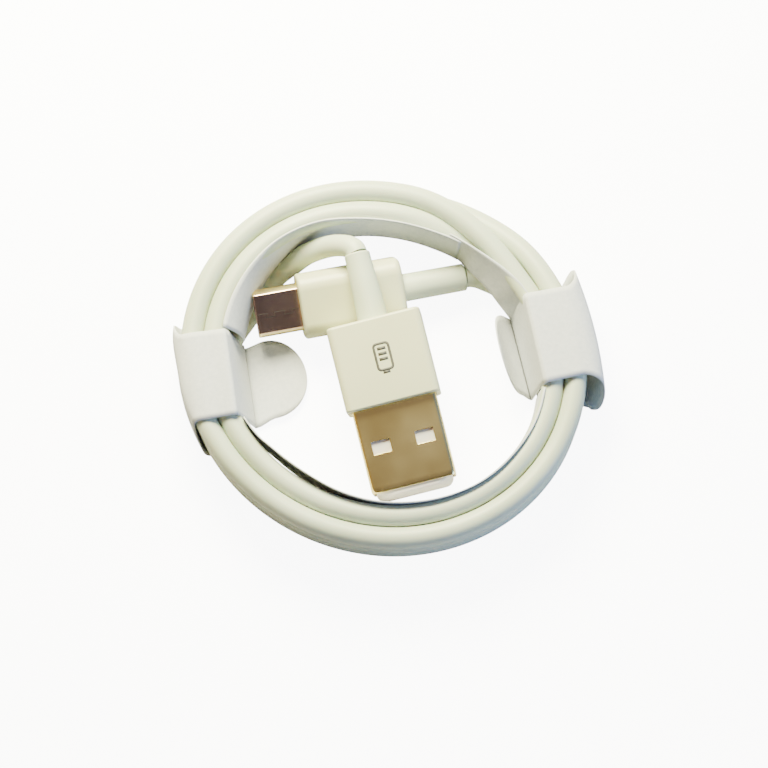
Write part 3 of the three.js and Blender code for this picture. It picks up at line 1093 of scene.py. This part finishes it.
RIGHT_RISE = 66 * DEG


def right_flap_place(along, y):
    bow = 0.35 * math.sin(min(along, 8) / 8 * math.pi)
    x = 19.85 - 0.06 * (y + 1) - along * math.cos(RIGHT_RISE) - bow * math.sin(RIGHT_RISE)
    return (x, y, 0.6 + along * math.sin(RIGHT_RISE) - bow * math.cos(RIGHT_RISE))


right_flap = paper(
    "right_flap_card",
    flap_grid(
        right_flap_place,
        8.0,
        rounded_side(-6.9, -7.4, -0.8, 5.4, 2.6),
        rounded_side(5.0, 4.8, -0.8, 5.4, 2.6),
    ),
    ["right_tuck_flap"],
    "right_flap",
)

# %% [markdown]
# ## The band inside the coil
# Between the wraps, the strip lines the coil. At the back it lies close to the strands. In front it
# stands off them and leaves a dark gap. At the right its two ends overlap, and the upper edge is
# pushed outwards over the cord.


# %% Inner band
def band_grid(bottom, top, columns, flare=1, rows=12):
    """bottom and top give the band's two edges at a share along it; flare bends it near the top."""
    grid = []
    for i in range(rows + 1):
        share = i / rows
        row = []
        for j in range(columns + 1):
            low, high = Vector(bottom(j / columns)), Vector(top(j / columns))
            point = low.lerp(high, share**flare)
            row.append((point.x, point.y, mix(low.z, high.z, share)))
        grid.append(row)
    return grid


def inner_side(angle):
    return coil_edge(angle) - 6.2


def edge_line(knots, steps=8):
    """A band's edge through (angle, radius, height) knots."""
    line = smooth_line(knots, steps)

    def place(share):
        at = share * (len(line) - 1)
        i = min(int(at), len(line) - 2)
        angle, radius, height = line[i].lerp(line[i + 1], at - i)
        return (radius * math.cos(angle * DEG), radius * math.sin(angle * DEG), height)

    return place


def beside(angles, offsets, height):
    """Knots at distances from the strands' inner side."""
    return [(a, inner_side(a) + o, height) for a, o in zip(angles, offsets)]


BACK = (47, 60, 75, 90, 105, 120, 132, 144, 158)
BACK_LOW = (-0.15, -0.15, -0.15, -0.15, -0.2, -0.5, -1.2, -2.0, -2.3)
BACK_FOOT = (2.4, 2.4, 2.4, 2.2, 1.8, 1.6, 2.6, 3.5, 3.7)
back_band = paper(
    "back_band_card",
    band_grid(
        edge_line([(a, inner_side(a) + o, z) for a, o, z in zip(BACK, BACK_LOW, BACK_FOOT)]),
        edge_line(beside(BACK, (0.35, 0.2, 0.15, 0.25, 0.7, 0.8, 0.6, 0.5, 0.45), 9.8)),
        72,
        flare=2.5,
    ),
    ["paper_band_back", "paper_band_left_end"],
)
OVERLAP = (13, 20, 27, 34, 41, 47, 52.5)
overlap_band = paper(
    "overlap_band_card",
    band_grid(
        edge_line(
            [(13, 20.1, 1.0), (20, 19.1, 4.0), (27, 18.85, 4.9), (34, 18.8, 4.95),
             (40, 18.85, 4.95), (46, 19.6, 3.2), (50.5, 20.1, 1.6)]
        ),
        edge_line(beside(OVERLAP, (1.25, 1.2, 0.95, 0.7, 0.62, 0.62, 0.7), 9.95)),
        48,
    ),
    ["paper_band_overlap"],
)
FRONT = (-167, -158, -150, -140, -130, -117, -104, -90, -75, -60, -45, -32, -20)
FRONT_LOW = (-0.5, -0.8, -1.1, -1.2, -1.2, -0.75, -0.45, -0.3, -0.25, -0.2, -0.2, -0.2, -0.2)
FRONT_TOP = (-0.2, -0.35, -0.7, -0.8, -0.7, -0.36, -0.1, 0.02, 0.22, 0.4, 0.36, 0.5, 0.5)
FRONT_HEIGHT = (9.8, 10, 10.2, 10.4, 10.5, 10.5, 10.5, 10.5, 10.4, 10.3, 10.1, 9.9, 9.8)
front_band = paper(
    "front_band_card",
    band_grid(
        edge_line(beside(FRONT, FRONT_LOW, 0.5)),
        edge_line([(a, inner_side(a) + o, z) for a, o, z in zip(FRONT, FRONT_TOP, FRONT_HEIGHT)]),
        90,
        flare=3,
    ),
    ["paper_band_front"],
)

# %% [markdown]
# ## Table and light
# The table is a plain pale sheet, large enough to fill the view. It glows for the camera alone, so it
# looks white but throws no extra light up at the cable. This also hides most of the cable's shadow.
# A soft warm window stands behind, a small cool reflector in front, and the sky is bright overhead
# and dim at the horizon, so that the white pieces keep their shades.


# %% Table
TABLE_GLOW = 9.0


def table_finish():
    material, tree, shader = start_material("pale_table", Roughness=0.7)
    tone = object_noise(tree, 6, 2)
    rays = add_node(tree, "ShaderNodeLightPath")
    glow = add_node(
        tree,
        "ShaderNodeMath",
        {0: rays.outputs["Is Camera Ray"], 1: TABLE_GLOW},
        operation="MULTIPLY",
    )
    wire_up(
        tree,
        shader,
        Base_Color=two_tones(tree, tone.outputs[0], "#d8d8d8", "#dedede"),
        Emission_Strength=glow.outputs[0],
    )
    shader.inputs["Emission Color"].default_value = linear("#ffffff")
    return material


TABLE_SIDE = 1500
table = make_object(
    "table",
    [
        (-TABLE_SIDE, -TABLE_SIDE, -0.02),
        (TABLE_SIDE, -TABLE_SIDE, -0.02),
        (TABLE_SIDE, TABLE_SIDE, -0.02),
        (-TABLE_SIDE, TABLE_SIDE, -0.02),
    ],
    [(0, 1, 2, 3)],
    table_finish(),
)


# %% Lights
def area_light(name, place, target, size, power, colour):
    data = bpy.data.lights.new(name, "AREA")
    data.shape = "DISK"
    data.size = size * MM
    data.energy = power
    data.color = linear(colour)[:3]
    light = bpy.data.objects.new(name, data)
    bpy.context.scene.collection.objects.link(light)
    light.location = Vector(place) * MM
    light.rotation_euler = (Vector(target) - Vector(place)).to_track_quat("-Z", "Y").to_euler()


area_light("window", (-10, 135, 135), (0, 8, 5), 110, 2.3, "#fffad0")
area_light("reflector", (210, -150, 110), (0, -12, 5), 160, 0.65, "#9cc0ff")


def soft_sky():
    """Bright overhead, dim in front, with a warm glow at one side and a cool one at the other."""
    world = bpy.data.worlds.new("soft_sky")
    world.use_nodes = True
    tree = world.node_tree
    tree.nodes.clear()
    place = add_node(tree, "ShaderNodeTexCoord")
    parts = add_node(tree, "ShaderNodeSeparateXYZ", {0: place.outputs["Generated"]})
    side = spread(tree, parts.outputs["X"], 0.0, 1.0, -0.7, 0.7)
    colour = two_tones(tree, side, "#ffd488", "#a8c6ff", 0.0, 1.0)
    depth = spread(tree, parts.outputs["Y"], 0.12, 1.0, -0.7, 0.5)
    rise = spread(tree, parts.outputs["Z"], 0.04, 0.6, 0.0, 0.78)
    overhead = add_node(tree, "ShaderNodeMath", {0: depth, 1: rise}, operation="MULTIPLY")
    level = add_node(tree, "ShaderNodeMath", {0: parts.outputs["X"]}, operation="ABSOLUTE")
    glow = spread(tree, level.outputs[0], 0.0, 0.5, 0.72, 1.0)
    total = add_node(
        tree, "ShaderNodeMath", {0: overhead.outputs[0], 1: glow}, operation="ADD"
    )
    sky = add_node(tree, "ShaderNodeBackground", {"Color": colour, "Strength": total.outputs[0]})
    add_node(tree, "ShaderNodeOutputWorld", {"Surface": sky.outputs[0]})
    return world


bpy.context.scene.world = soft_sky()
